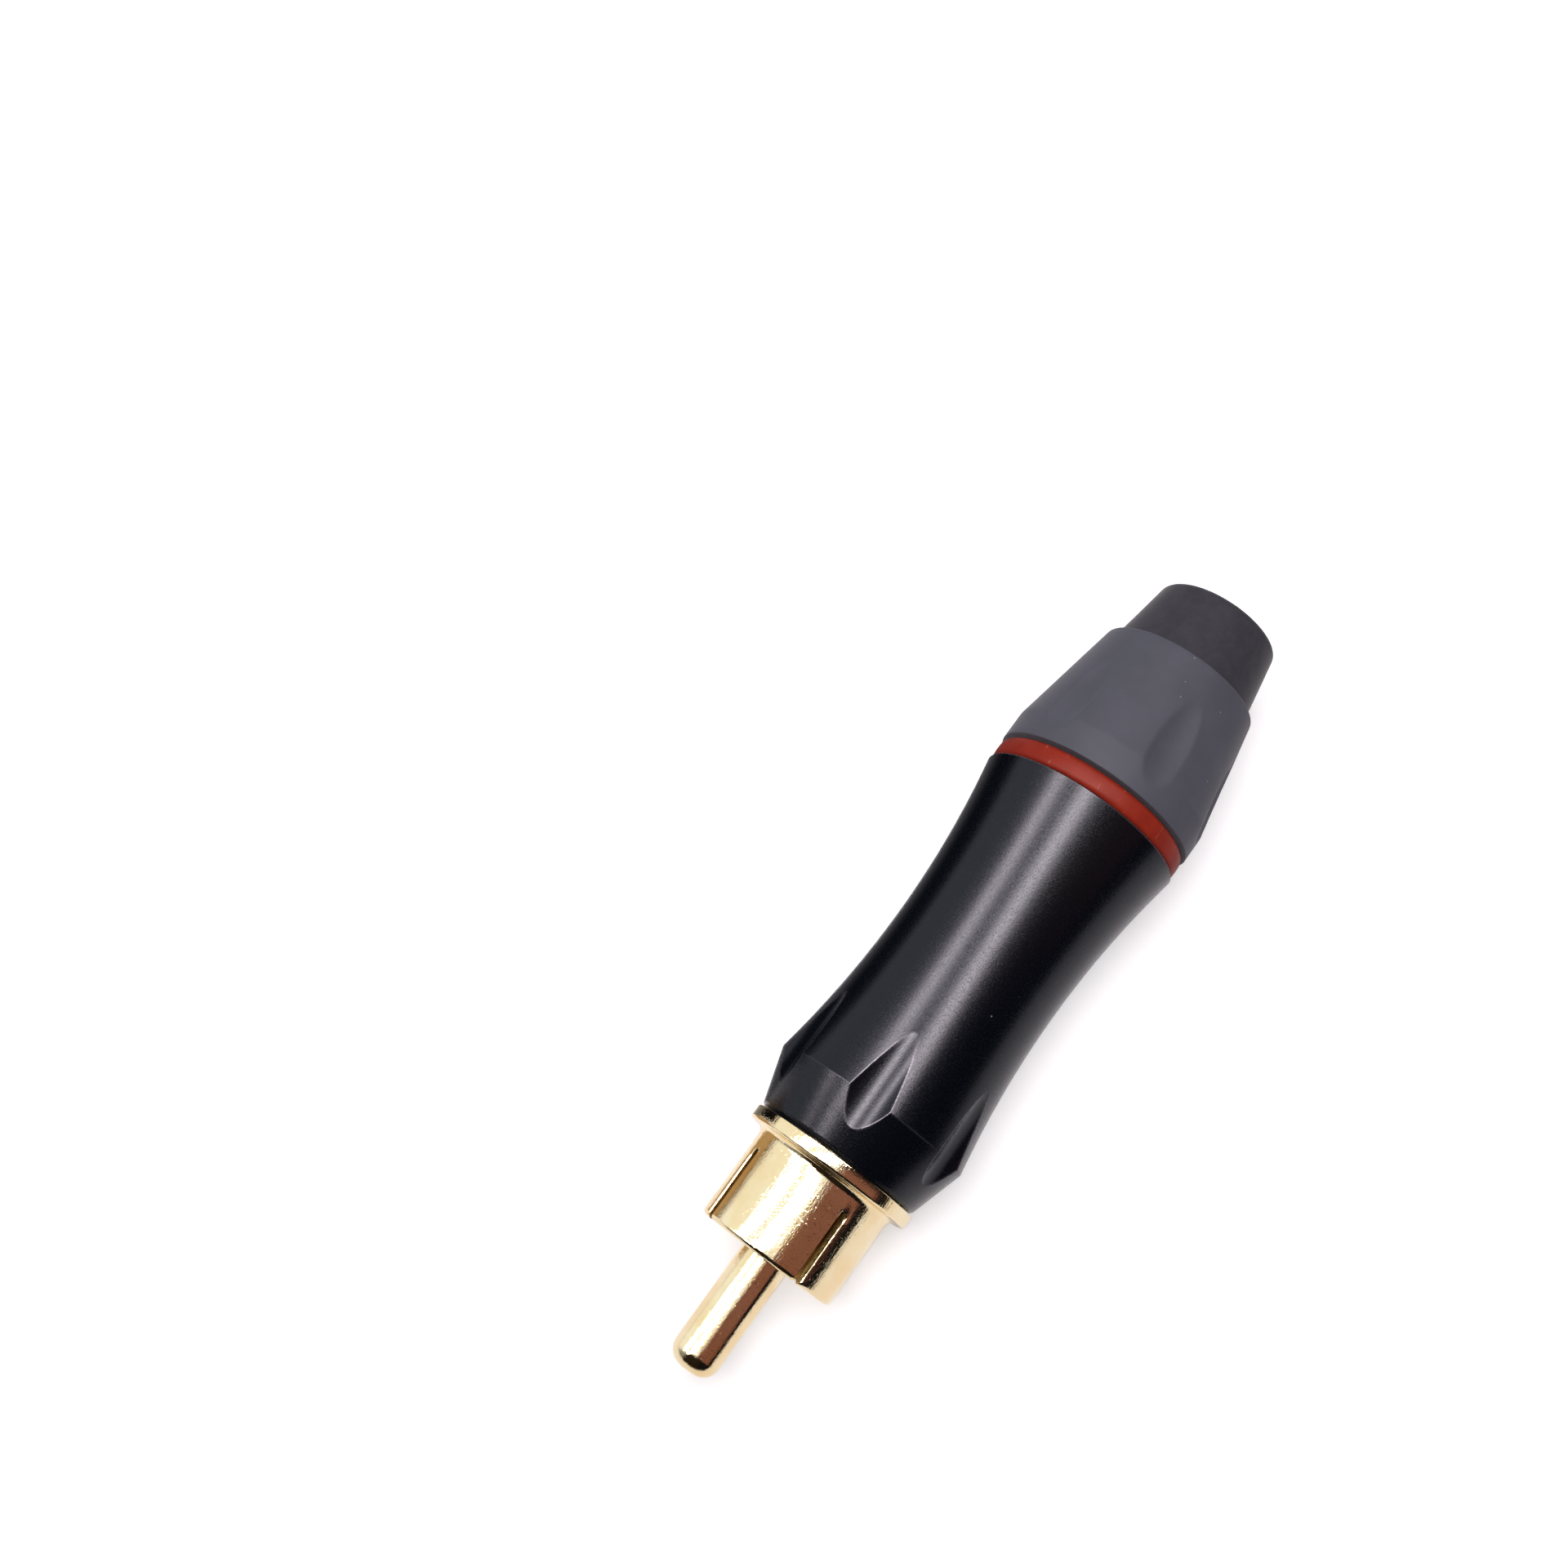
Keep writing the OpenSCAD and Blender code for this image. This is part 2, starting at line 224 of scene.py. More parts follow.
def goldPlate():
    g = gold
    material, tree, place = newMaterial("polished gold plate on turned brass")
    cloud = addNode(tree, "ShaderNodeTexNoise",
                    {"Vector": place, "Scale": 1 / (g["cloudMm"] * mm), "Detail": 4.0})
    tint = addNode(tree, "ShaderNodeValToRGB", {0: cloud.outputs[0]})
    plate = setRamp(tint, [(0.35, g["colour"]), (0.75, g["rubbed"])])
    polish = addNode(tree, "ShaderNodeMapRange",
                     {0: cloud.outputs[0], 1: g["cloudRange"][0], 2: g["cloudRange"][1],
                      3: g["roughness"][0], 4: g["roughness"][1]})
    inside = addNode(tree, "ShaderNodeAttribute", attribute_name="inside").outputs["Fac"]
    # inside the bore the plate's colour turns to a painted shade of dark brown
    colour = addNode(tree, "ShaderNodeMix", {0: inside, 6: plate, 7: hexLinear(g["bore"])}, data_type="RGBA")
    dull = specks(tree, place, *g["pits"])
    pitted = addNode(tree, "ShaderNodeMapRange", {0: dull, 3: polish.outputs[0], 4: g["pitRough"]})
    rough = addNode(tree, "ShaderNodeMapRange", {0: inside, 3: pitted.outputs[0], 4: g["boreRough"]})
    # the peel is really about 0.03 mm across and the scratches 0.02 mm; both are drawn coarser to show
    peel = addNode(tree, "ShaderNodeTexNoise",
                   {"Vector": place, "Scale": 1 / (g["peelMm"] * mm), "Detail": 1.0, "Roughness": 0.6})
    stretch = addNode(tree, "ShaderNodeMapping", {0: place, 3: g["wipeStretch"]})
    wipes = addNode(tree, "ShaderNodeTexNoise",
                    {"Vector": stretch.outputs[0], "Scale": 1 / (g["wipeMm"] * mm), "Detail": 3.0})
    slant = addNode(tree, "ShaderNodeMapping", {0: place, 2: g["scratchTurn"], 3: g["scratchStretch"]})
    hairs = addNode(tree, "ShaderNodeTexNoise",
                    {"Vector": slant.outputs[0], "Scale": 1 / (g["scratchMm"] * mm), "Detail": 1.0})
    scratches = addNode(tree, "ShaderNodeMapRange",
                        {0: hairs.outputs[0], 1: g["scratchPeaks"][0], 2: g["scratchPeaks"][1]})
    first = addNode(tree, "ShaderNodeBump",
                    {"Strength": 1.0, "Distance": g["wipeDeep"] * mm, "Height": wipes.outputs[0]})
    second = addNode(tree, "ShaderNodeBump",
                     {"Strength": 1.0, "Distance": g["peelDeep"] * mm, "Height": peel.outputs[0],
                      "Normal": first.outputs[0]})
    bump = addNode(tree, "ShaderNodeBump",
                   {"Strength": 1.0, "Distance": g["scratchDeep"] * mm, "Height": scratches.outputs[0],
                    "Normal": second.outputs[0]}, invert=True)
    shader = addNode(tree, "ShaderNodeBsdfPrincipled",
                     {"Base Color": colour.outputs[2], "Metallic": 1.0, "Roughness": rough.outputs[0],
                      "Normal": bump.outputs[0]})
    finishMaterial(tree, shader)
    return material


# Black anodised aluminium, fine blasted: blue-black, a satin sheen that sparkles finely in the lights, a few
# dust specks, and edges with a thin pale line of bare metal, partly wear and partly a painted highlight. Bump
# is (strength, mm).
anodised = dict(colour="#05080F", edge="#66666F", dust="#8C8B92", sheen="#E4EAFA", roughness=(0.18, 0.3),
                grainMm=0.09, specular=0.36, dustSpecks=(2.2, 0.16, 0.22), bump=(0.15, 0.03))


def blackAnodised():
    a = anodised
    material, tree, place = newMaterial("black anodised aluminium, fine blasted")
    # blasting grain is really about 0.05 mm; it is drawn coarser so that the sparkle shows
    grain = addNode(tree, "ShaderNodeTexNoise",
                    {"Vector": place, "Scale": 1 / (a["grainMm"] * mm), "Detail": 1.0, "Roughness": 0.6})
    rough = addNode(tree, "ShaderNodeMapRange",
                    {0: grain.outputs[0], 1: noiseLow, 2: noiseHigh,
                     3: a["roughness"][0], 4: a["roughness"][1]})
    # edge: pale bare metal along the edges, partly wear and partly a painted highlight
    edge = addNode(tree, "ShaderNodeAttribute", attribute_name="edge")
    wearAndGlint = addNode(tree, "ShaderNodeMath", {0: edge.outputs["Fac"], 1: grain.outputs[0]},
                   operation="MULTIPLY", use_clamp=True)
    metal = addNode(tree, "ShaderNodeMix",
                    {0: wearAndGlint.outputs[0], 6: hexLinear(a["colour"]), 7: hexLinear(a["edge"])}, data_type="RGBA")
    dust = specks(tree, place, *a["dustSpecks"])
    colour = addNode(tree, "ShaderNodeMix",
                     {0: dust, 6: metal.outputs[2], 7: hexLinear(a["dust"])}, data_type="RGBA")
    bump = addNode(tree, "ShaderNodeBump",
                   {"Strength": a["bump"][0], "Distance": a["bump"][1] * mm, "Height": grain.outputs[0]})
    shader = addNode(tree, "ShaderNodeBsdfPrincipled",
                     {"Base Color": colour.outputs[2], "Metallic": wearAndGlint.outputs[0],
                      "Roughness": rough.outputs[0], "Specular IOR Level": a["specular"],
                      "Specular Tint": hexLinear(a["sheen"]),
                      "Normal": bump.outputs[0]})
    finishMaterial(tree, shader)
    return material


# Moulded ABS, brick red: an even colour with a half gloss from the tool, faintly cloudy, with fine
# pale scuffs.
redPlastic = dict(colour="#A0301F", cloudy="#932A1B", scuff="#CC8A7E", roughness=(0.4, 0.5), specular=0.1,
                  cloudMm=1.1, bump=(0.1, 0.02), scuffMm=0.22, scuffTurn=(0.3, 0.5, 0.9),
                  scuffStretch=(0.12, 1.0, 1.0), scuffPeaks=(0.72, 0.79), scuffShare=0.6)


def redAbs():
    r = redPlastic
    material, tree, place = newMaterial("moulded red ABS, half gloss")
    cloud = addNode(tree, "ShaderNodeTexNoise",
                    {"Vector": place, "Scale": 1 / (r["cloudMm"] * mm), "Detail": 5.0})
    tint = addNode(tree, "ShaderNodeValToRGB", {0: cloud.outputs[0]})
    plain = setRamp(tint, [(0.35, r["colour"]), (0.7, r["cloudy"])])
    # hair-fine scuffs lie askew: noise stretched along a turned axis, of which only the peaks show
    askew = addNode(tree, "ShaderNodeMapping", {0: place, 2: r["scuffTurn"], 3: r["scuffStretch"]})
    hairs = addNode(tree, "ShaderNodeTexNoise",
                    {"Vector": askew.outputs[0], "Scale": 1 / (r["scuffMm"] * mm), "Detail": 1.0})
    scuffs = addNode(tree, "ShaderNodeMapRange",
                     {0: hairs.outputs[0], 1: r["scuffPeaks"][0], 2: r["scuffPeaks"][1],
                      3: 0.0, 4: r["scuffShare"]})
    colour = addNode(tree, "ShaderNodeMix",
                     {0: scuffs.outputs[0], 6: plain, 7: hexLinear(r["scuff"])}, data_type="RGBA")
    rough = addNode(tree, "ShaderNodeMapRange",
                    {0: cloud.outputs[0], 1: noiseLow, 2: noiseHigh,
                     3: r["roughness"][0], 4: r["roughness"][1]})
    bump = addNode(tree, "ShaderNodeBump",
                   {"Strength": r["bump"][0], "Distance": r["bump"][1] * mm, "Height": cloud.outputs[0]})
    shader = addNode(tree, "ShaderNodeBsdfPrincipled",
                     {"Base Color": colour.outputs[2], "Roughness": rough.outputs[0],
                      "Specular IOR Level": r["specular"], "Normal": bump.outputs[0]})
    finishMaterial(tree, shader)
    return material


# Moulded nylon, slate grey: an eroded tool leaves a fine dull grain, so it has a broad soft sheen
# and no mirror.
greyPlastic = dict(colour="#585B67", cloudy="#535661", dust="#90909A", roughness=(0.6, 0.72), specular=0.18,
                   sheen=0.2, sheenRough=0.4, cloudMm=2.2, grainMm=0.14, dustSpecks=(1.0, 0.13, 0.3),
                   bump=(0.16, 0.03))


def greyNylon():
    n = greyPlastic
    material, tree, place = newMaterial("moulded slate grey nylon, eroded grain")
    cloud = addNode(tree, "ShaderNodeTexNoise",
                    {"Vector": place, "Scale": 1 / (n["cloudMm"] * mm), "Detail": 4.0})
    grain = addNode(tree, "ShaderNodeTexNoise",
                    {"Vector": place, "Scale": 1 / (n["grainMm"] * mm), "Detail": 3.0, "Roughness": 0.6})
    tint = addNode(tree, "ShaderNodeValToRGB", {0: cloud.outputs[0]})
    plain = setRamp(tint, [(0.35, n["colour"]), (0.7, n["cloudy"])])
    dust = specks(tree, place, *n["dustSpecks"])
    colour = addNode(tree, "ShaderNodeMix", {0: dust, 6: plain, 7: hexLinear(n["dust"])}, data_type="RGBA")
    rough = addNode(tree, "ShaderNodeMapRange",
                    {0: grain.outputs[0], 1: noiseLow, 2: noiseHigh,
                     3: n["roughness"][0], 4: n["roughness"][1]})
    bump = addNode(tree, "ShaderNodeBump",
                   {"Strength": n["bump"][0], "Distance": n["bump"][1] * mm, "Height": grain.outputs[0]})
    shader = addNode(tree, "ShaderNodeBsdfPrincipled",
                     {"Base Color": colour.outputs[2], "Roughness": rough.outputs[0],
                      "Specular IOR Level": n["specular"], "Sheen Weight": n["sheen"],
                      "Sheen Roughness": n["sheenRough"], "Normal": bump.outputs[0]})
    finishMaterial(tree, shader)
    return material


# Moulded thermoplastic rubber, black: dull, slightly dusty and mottled, with a faint pale bloom.
rubber = dict(colour="#393A42", bloom="#42434B", roughness=(0.68, 0.82), specular=0.14, sheen=0.3,
              sheenRough=0.4, cloudMm=0.9, grainMm=0.2, bump=(0.18, 0.03))


def blackRubber():
    r = rubber
    material, tree, place = newMaterial("moulded black rubber, dull")
    cloud = addNode(tree, "ShaderNodeTexNoise",
                    {"Vector": place, "Scale": 1 / (r["cloudMm"] * mm), "Detail": 6.0, "Roughness": 0.6})
    grain = addNode(tree, "ShaderNodeTexNoise",
                    {"Vector": place, "Scale": 1 / (r["grainMm"] * mm), "Detail": 3.0})
    tint = addNode(tree, "ShaderNodeValToRGB", {0: cloud.outputs[0]})
    colour = setRamp(tint, [(0.4, r["colour"]), (0.75, r["bloom"])])
    rough = addNode(tree, "ShaderNodeMapRange",
                    {0: grain.outputs[0], 1: noiseLow, 2: noiseHigh,
                     3: r["roughness"][0], 4: r["roughness"][1]})
    bump = addNode(tree, "ShaderNodeBump",
                   {"Strength": r["bump"][0], "Distance": r["bump"][1] * mm, "Height": grain.outputs[0]})
    shader = addNode(tree, "ShaderNodeBsdfPrincipled",
                     {"Base Color": colour, "Roughness": rough.outputs[0],
                      "Specular IOR Level": r["specular"], "Sheen Weight": r["sheen"],
                      "Sheen Roughness": r["sheenRough"], "Normal": bump.outputs[0]})
    finishMaterial(tree, shader)
    return material


# Moulded plastics inside the plug: white PTFE bush and natural nylon chuck, both waxy, with faint
# flow clouds.
waxy = dict(cloudMm=1.6, roughSpread=0.12, bump=(0.08, 0.02),
            bush=dict(colour="#ECE9E2", cloudy="#E2DED4", rough=0.42),
            chuck=dict(colour="#D8D2C2", cloudy="#CBC4B2", rough=0.46))


def waxyPlastic(name, setting):
    material, tree, place = newMaterial(name)
    cloud = addNode(tree, "ShaderNodeTexNoise",
                    {"Vector": place, "Scale": 1 / (waxy["cloudMm"] * mm), "Detail": 4.0})
    tint = addNode(tree, "ShaderNodeValToRGB", {0: cloud.outputs[0]})
    colour = setRamp(tint, [(0.35, setting["colour"]), (0.7, setting["cloudy"])])
    rough = addNode(tree, "ShaderNodeMapRange",
                    {0: cloud.outputs[0], 1: noiseLow, 2: noiseHigh, 3: setting["rough"],
                     4: setting["rough"] + waxy["roughSpread"]})
    bump = addNode(tree, "ShaderNodeBump",
                   {"Strength": waxy["bump"][0], "Distance": waxy["bump"][1] * mm, "Height": cloud.outputs[0]})
    shader = addNode(tree, "ShaderNodeBsdfPrincipled",
                     {"Base Color": colour, "Roughness": rough.outputs[0], "Normal": bump.outputs[0]})
    finishMaterial(tree, shader)
    return material


goldFinish = goldPlate()
barrelFinish = blackAnodised()
ringFinish = redAbs()
bootFinish = greyNylon()
glandFinish = blackRubber()
print("materials made")

# barrel: a waist that is one arc, a front cone that meets it at the ridge, and straight flutes across
# the ridge; fluteLeast is the half angle, in degrees, that a flute's columns keep where it runs out
barrelSet = dict(nose=15.2, noseR=5.66, noseEdge=0.25, ridge=18.95, waist=29.65, waistR=5.84, rear=41.85,
                 rearR=7.0, rearEdge=0.09, flutes=6, fluteR=2.5, fluteDepth=0.62, fluteLeast=3.0, edgeR=0.07,
                 edgeLeast=0.004, ridgeEdgeR=0.16, frontBore=5.05, frontBoreEnd=20.95, midBore=4.35,
                 seat=32.35, chamber=4.85, rearBoreStart=35.95, rearBore=5.32)
# its pale edge lines, partly wear and partly painted highlight: strengths and half widths in mm, beside the
# flutes, on the ridge and on the rear edge
barrelWearAndGlint = dict(flute=1.5, fluteWide=0.035, fluteMeet=0.5, ridge=0.3, ridgeWide=0.05, rear=1.8,
                  rearWide=0.08, rearIn=0.05, rearBand=0.3, rearRow=1.0)


def makeBarrel():
    b = barrelSet
    w = barrelWearAndGlint
    rise = b["rearR"] - b["waistR"]
    arcR = ((b["rear"] - b["waist"]) ** 2 + rise ** 2) / (2 * rise)
    ridgeR = b["waistR"] + arcR - math.sqrt(arcR ** 2 - (b["waist"] - b["ridge"]) ** 2)
    slope = (ridgeR - b["noseR"]) / (b["ridge"] - b["nose"] - b["noseEdge"])
    # stations: close together over the flutes' round front, at the ridge and at their pointed rear
    coneStart = b["nose"] + b["noseEdge"]
    rearEnd = b["rear"] - b["rearEdge"]
    knots = [coneStart, 16.8, 17.0, 17.5, 18.75, 18.85, 19.05, 19.2, 22.0, 24.0, 27.0,
             rearEnd - 0.05, rearEnd]
    counts = [13, 5, 22, 18, 5, 14, 5, 24, 26, 12, 34, 1]
    parts = [np.linspace(a, z, n, endpoint=False) for a, z, n in zip(knots[:-1], knots[1:], counts)]
    outer = np.concatenate(parts + [[rearEnd]])
    # outline: the smaller of the cone and the arc, with a slightly rounded ridge
    cone = b["noseR"] + slope * (outer - coneStart)
    arc = b["waistR"] + arcR - np.sqrt(arcR ** 2 - (outer - b["waist"]) ** 2)
    bend = math.atan(slope) + math.asin((b["waist"] - b["ridge"]) / arcR)
    outline = softMin(cone, arc, 0.5 * b["ridgeEdgeR"] * bend ** 2)
    # half angle of a flute where its round wall meets the outline, by the cosine rule
    fluteAt = ridgeR - b["fluteDepth"] + b["fluteR"]
    cosine = (outline ** 2 + fluteAt ** 2 - b["fluteR"] ** 2) / (2 * outline * fluteAt)
    half = np.where(outer < b["waist"], np.arccos(np.clip(cosine, -1, 1)), 0)
    wide = np.maximum(half, math.radians(b["fluteLeast"]))[:, None]
    # columns of a half sector, packed on both sides of the flute's edge
    within = np.array([0, 0.17, 0.34, 0.5, 0.63, 0.74, 0.83, 0.9, 0.95, 0.98, 1.0])
    beyond = np.array([0.012, 0.03, 0.06, 0.11, 0.18, 0.28, 0.4, 0.55, 0.7, 0.85, 1.0])
    sector = math.pi / b["flutes"]
    halfSector = np.concatenate([wide * within, wide + (sector - wide) * beyond], axis=1)
    across = np.concatenate([-halfSector[:, :0:-1], halfSector[:, :-1]], axis=1)
    centres = np.arange(b["flutes"]) * 2 * sector
    angle = (centres[None, :, None] + across[:, None, :]).reshape(len(outer), -1)
    off = np.tile(across, (1, b["flutes"]))
    # flute wall seen along a radius: r = d cos(a) - sqrt(R2 - d2 sin2(a))
    inside = b["fluteR"] ** 2 - (fluteAt * np.sin(off)) ** 2
    cut = (inside > 0) & (outer < b["waist"])[:, None]
    wall = np.where(cut, fluteAt * np.cos(off) - np.sqrt(np.maximum(inside, 0)), noWall)
    meet = np.arccos(np.clip((fluteAt * np.cos(half) - outline) / b["fluteR"], -1, 1))
    tilt = np.gradient(outline, outer)
    blend = 0.5 * b["edgeR"] * (meet ** 2 + tilt ** 2 + b["edgeLeast"])
    radius = softMin(outline[:, None], wall, blend[:, None])
    # pale edge lines, partly wear and partly painted highlight: bell curves of the distance to the flute's wall
    # and to the ridge, none where they meet flat
    fluteLine = w["flute"] * np.exp(-((outline[:, None] - wall) / w["fluteWide"]) ** 2)
    edge = fluteLine * np.clip(meet / w["fluteMeet"], 0, 1)[:, None]
    ridgeLine = w["ridge"] * np.exp(-((outer - b["ridge"]) / w["ridgeWide"]) ** 2)[:, None]
    edge = np.maximum(edge, ridgeLine * (wall > outline[:, None]))
    # ends and bores close the loop
    back = roundCorners([
        (rearEnd, outline[-1], 0), (b["rear"], b["rearR"] - b["rearEdge"], 0.06),
        (b["rear"], b["rearBore"], 0.12), (b["rearBoreStart"], b["rearBore"], 0),
        (b["rearBoreStart"], b["chamber"], 0), (b["seat"], b["chamber"], 0), (b["seat"], b["midBore"], 0),
        (b["frontBoreEnd"], b["midBore"], 0), (b["frontBoreEnd"], b["frontBore"], 0),
        (b["nose"], b["frontBore"], 0.1), (b["nose"], b["noseR"] - b["noseEdge"], 0.08),
        (coneStart, b["noseR"], 0)], closed=False)[1:-1]
    plain = np.broadcast_to(angle[-1], (len(back), angle.shape[1]))
    station = np.concatenate([np.broadcast_to(outer[:, None], angle.shape),
                              np.broadcast_to(back[:, :1], plain.shape)])
    radius = np.concatenate([radius, np.broadcast_to(back[:, 1:], plain.shape)])
    angle = np.concatenate([angle, plain])
    # the rear bevel's pale line, partly wear and partly a painted highlight
    bevel = np.exp(-((back[:, :1] - b["rear"] + w["rearIn"]) / w["rearWide"]) ** 2)
    bevel = bevel * (back[:, 1:] > b["rearR"] - w["rearBand"])
    edge[-1] = w["rearRow"]
    edge = np.concatenate([edge, np.broadcast_to(w["rear"] * bevel, plain.shape)])
    rows, columns = angle.shape
    faces = gridFaces(rows, columns).reshape(-1, 4).tolist()
    piece = makePiece("barrel_turned", aroundAxis(station, radius, angle), faces, barrelFinish,
                      "barrel", "barrel", sharp=30)
    pointValues(piece, "edge", edge)


makeBarrel()

# boot: a straight band, a cone with six finger dimples, a threaded neck that screws into the barrel
bootSet = dict(front=43.45, end=53.45, frontR=7.0, endR=5.55, band=2.0, bandBlend=0.012, edge=0.07, endRun=0.35,
               dimples=6, dimpleTurn=158.0, dimpleAt=3.6, dimpleDepth=0.36, dimpleR=2.8, dimpleLongR=20.0,
               dimpleReach=0.42, dimpleBlend=0.05, neckStart=36.75, neckEnd=41.9, neckEdge=0.12, neckR=5.27,
               neckBore=4.32, shoulderR=5.87, threadDepth=0.4, glandSeat=5.07, glandStart=47.12, webR=3.5,
               webStart=45.9, squeezeStart=43.5, squeezeR=3.72, columns=264)


def makeBoot():
    b = bootSet
    angle = np.arange(b["columns"]) * 2 * math.pi / b["columns"]
    neck = np.arange(b["neckStart"] + b["neckEdge"], b["neckEnd"] - 0.05, threadPitch / threadRows)
    neckRadius = b["neckR"] - threadCut(neck[:, None], angle, b["neckStart"] - 0.15, b["neckEnd"] - 0.3,
                                        b["threadDepth"])
    shoulder = roundCorners([
        (b["neckEnd"] - 0.04, b["neckR"], 0), (b["neckEnd"], b["neckR"], 0),
        (b["neckEnd"], b["shoulderR"], 0.08), (b["front"], b["shoulderR"], 0.06),
        (b["front"], b["frontR"], b["edge"]),
        (b["front"] + 1.0, b["frontR"], 0)], closed=False)[:-1]
    bandEnd = b["front"] + b["band"]
    slope = (b["frontR"] - b["endR"]) / (b["end"] - bandEnd)
    coneEnd = b["end"] - b["endRun"]
    cone = np.concatenate([np.linspace(b["front"] + 0.3, bandEnd - 0.3, 8),
                           np.linspace(bandEnd - 0.25, coneEnd, 74)])
    coneR = b["frontR"] - slope * (cone - bandEnd)
    body = softMin(np.full_like(cone, b["frontR"]), coneR, b["bandBlend"])
    # dimple: a wheel of radius dimpleLongR with a round tread of dimpleR bites dimpleDepth into the cone
    lean = math.atan(slope)
    pitch = 2 * math.pi / b["dimples"]
    off = (angle - math.radians(b["dimpleTurn"]) + pitch / 2) % pitch - pitch / 2
    at = b["front"] + b["dimpleAt"]
    along = ((cone - at) / math.cos(lean))[:, None]
    floorR = (coneR - b["dimpleDepth"] / math.cos(lean))[:, None]
    widest = b["dimpleR"] * 0.999
    side = np.clip(floorR * np.tan(off), -widest, widest)
    tread = b["dimpleLongR"] - b["dimpleR"] + np.sqrt(b["dimpleR"] ** 2 - side ** 2)
    lift = b["dimpleLongR"] - np.sqrt(np.maximum(tread ** 2 - along ** 2, 0))
    bite = np.where(np.abs(off) < b["dimpleReach"], (floorR + lift) / np.cos(off), noWall)
    bodyRadius = softMin(body[:, None], bite, b["dimpleBlend"])
    tail = roundCorners([
        (coneEnd, b["endR"] + slope * b["endRun"], 0), (b["end"], b["endR"], 0.12),
        (b["end"], b["glandSeat"], 0.05), (b["glandStart"], b["glandSeat"], 0),
        (b["glandStart"], b["webR"], 0), (b["webStart"], b["webR"], 0), (b["webStart"], b["squeezeR"], 0),
        (b["squeezeStart"], b["neckBore"], 0), (b["neckStart"], b["neckBore"], 0.1),
        (b["neckStart"], b["neckR"] - b["neckEdge"], 0.03),
        (b["neckStart"] + b["neckEdge"], b["neckR"], 0)], closed=False)[1:-1]
    station = np.concatenate([neck, shoulder[:, 0], cone, tail[:, 0]])[:, None]
    wide = [np.broadcast_to(r[:, None], (len(r), len(angle))) for r in (shoulder[:, 1], tail[:, 1])]
    radius = np.concatenate([neckRadius, wide[0], bodyRadius, wide[1]])
    faces = gridFaces(*radius.shape).reshape(-1, 4).tolist()
    makePiece("boot_moulded", aroundAxis(station, radius, angle), faces, bootFinish,
              "boot", "boot", sharp=42)


makeBoot()

# colour ring: a slightly crowned band with rounded edges and a flat bore
ringSet = dict(start=41.9, width=1.4, topR=6.92, crown=0.05, edge=0.4, bore=5.92, columns=180)


def makeRing():
    r = ringSet
    end = r["start"] + r["width"]
    low = r["topR"] - r["crown"]
    loop = roundCorners([(r["start"], r["bore"], 0.05), (r["start"], low, r["edge"]),
                         (r["start"] + r["width"] / 2, r["topR"], 3.0), (end, low, r["edge"]),
                         (end, r["bore"], 0.05)], steps=8)
    angle = np.arange(r["columns"]) * 2 * math.pi / r["columns"]
    faces = gridFaces(len(loop), len(angle)).reshape(-1, 4).tolist()
    makePiece("ring_red", aroundAxis(loop[:, :1], loop[:, 1:], angle), faces, ringFinish,
              "colour_ring", "colour_ring")


makeRing()

# gland: a soft sleeve seated in the boot, tapering to a rounded end round the cable bore
glandSet = dict(start=47.14, mouth=53.45, end=58.45, seatR=5.05, endR=4.25, bore=3.1, endRound=0.5,
                columns=160)


def makeGland():
    g = glandSet
    loop = roundCorners([
        (g["start"], g["seatR"], 0.1), (g["mouth"], g["seatR"], 0.2),
        (g["mouth"] + 1.7, 0.66 * g["seatR"] + 0.34 * g["endR"], 0),
        (g["mouth"] + 3.3, 0.34 * g["seatR"] + 0.66 * g["endR"], 0), (g["end"], g["endR"], g["endRound"]),
        (g["end"], g["bore"], 0.12), (g["start"], g["bore"], 0.05)], steps=7)
    angle = np.arange(g["columns"]) * 2 * math.pi / g["columns"]
    faces = gridFaces(len(loop), len(angle)).reshape(-1, 4).tolist()
    makePiece("gland_rubber", aroundAxis(loop[:, :1], loop[:, 1:], angle), faces, glandFinish,
              "boot", "cable_gland")


makeGland()

# ground shell: a split sleeve with a rounded rim, a flange, a threaded shank and a solder tail
# along the underside
shellSet = dict(rim=7.9, boreR=4.15, outerR=4.77, slotEnd=12.85, slots=(57.5, 147.5, 237.5, 327.5),
                slotHalf=2.9, slotEdge=0.045, tongueColumns=29, flange=14.25, flangeR=5.8, fillet=0.52,
                shank=15.15, shankR=5.0, shankEnd=20.15, threadDepth=0.42, shankBore=2.72, seat=14.92,
                tailR=4.05, tailWall=0.8, tailW=4.4, tailLen=8.0, tailIn=0.2, holeR=0.8)


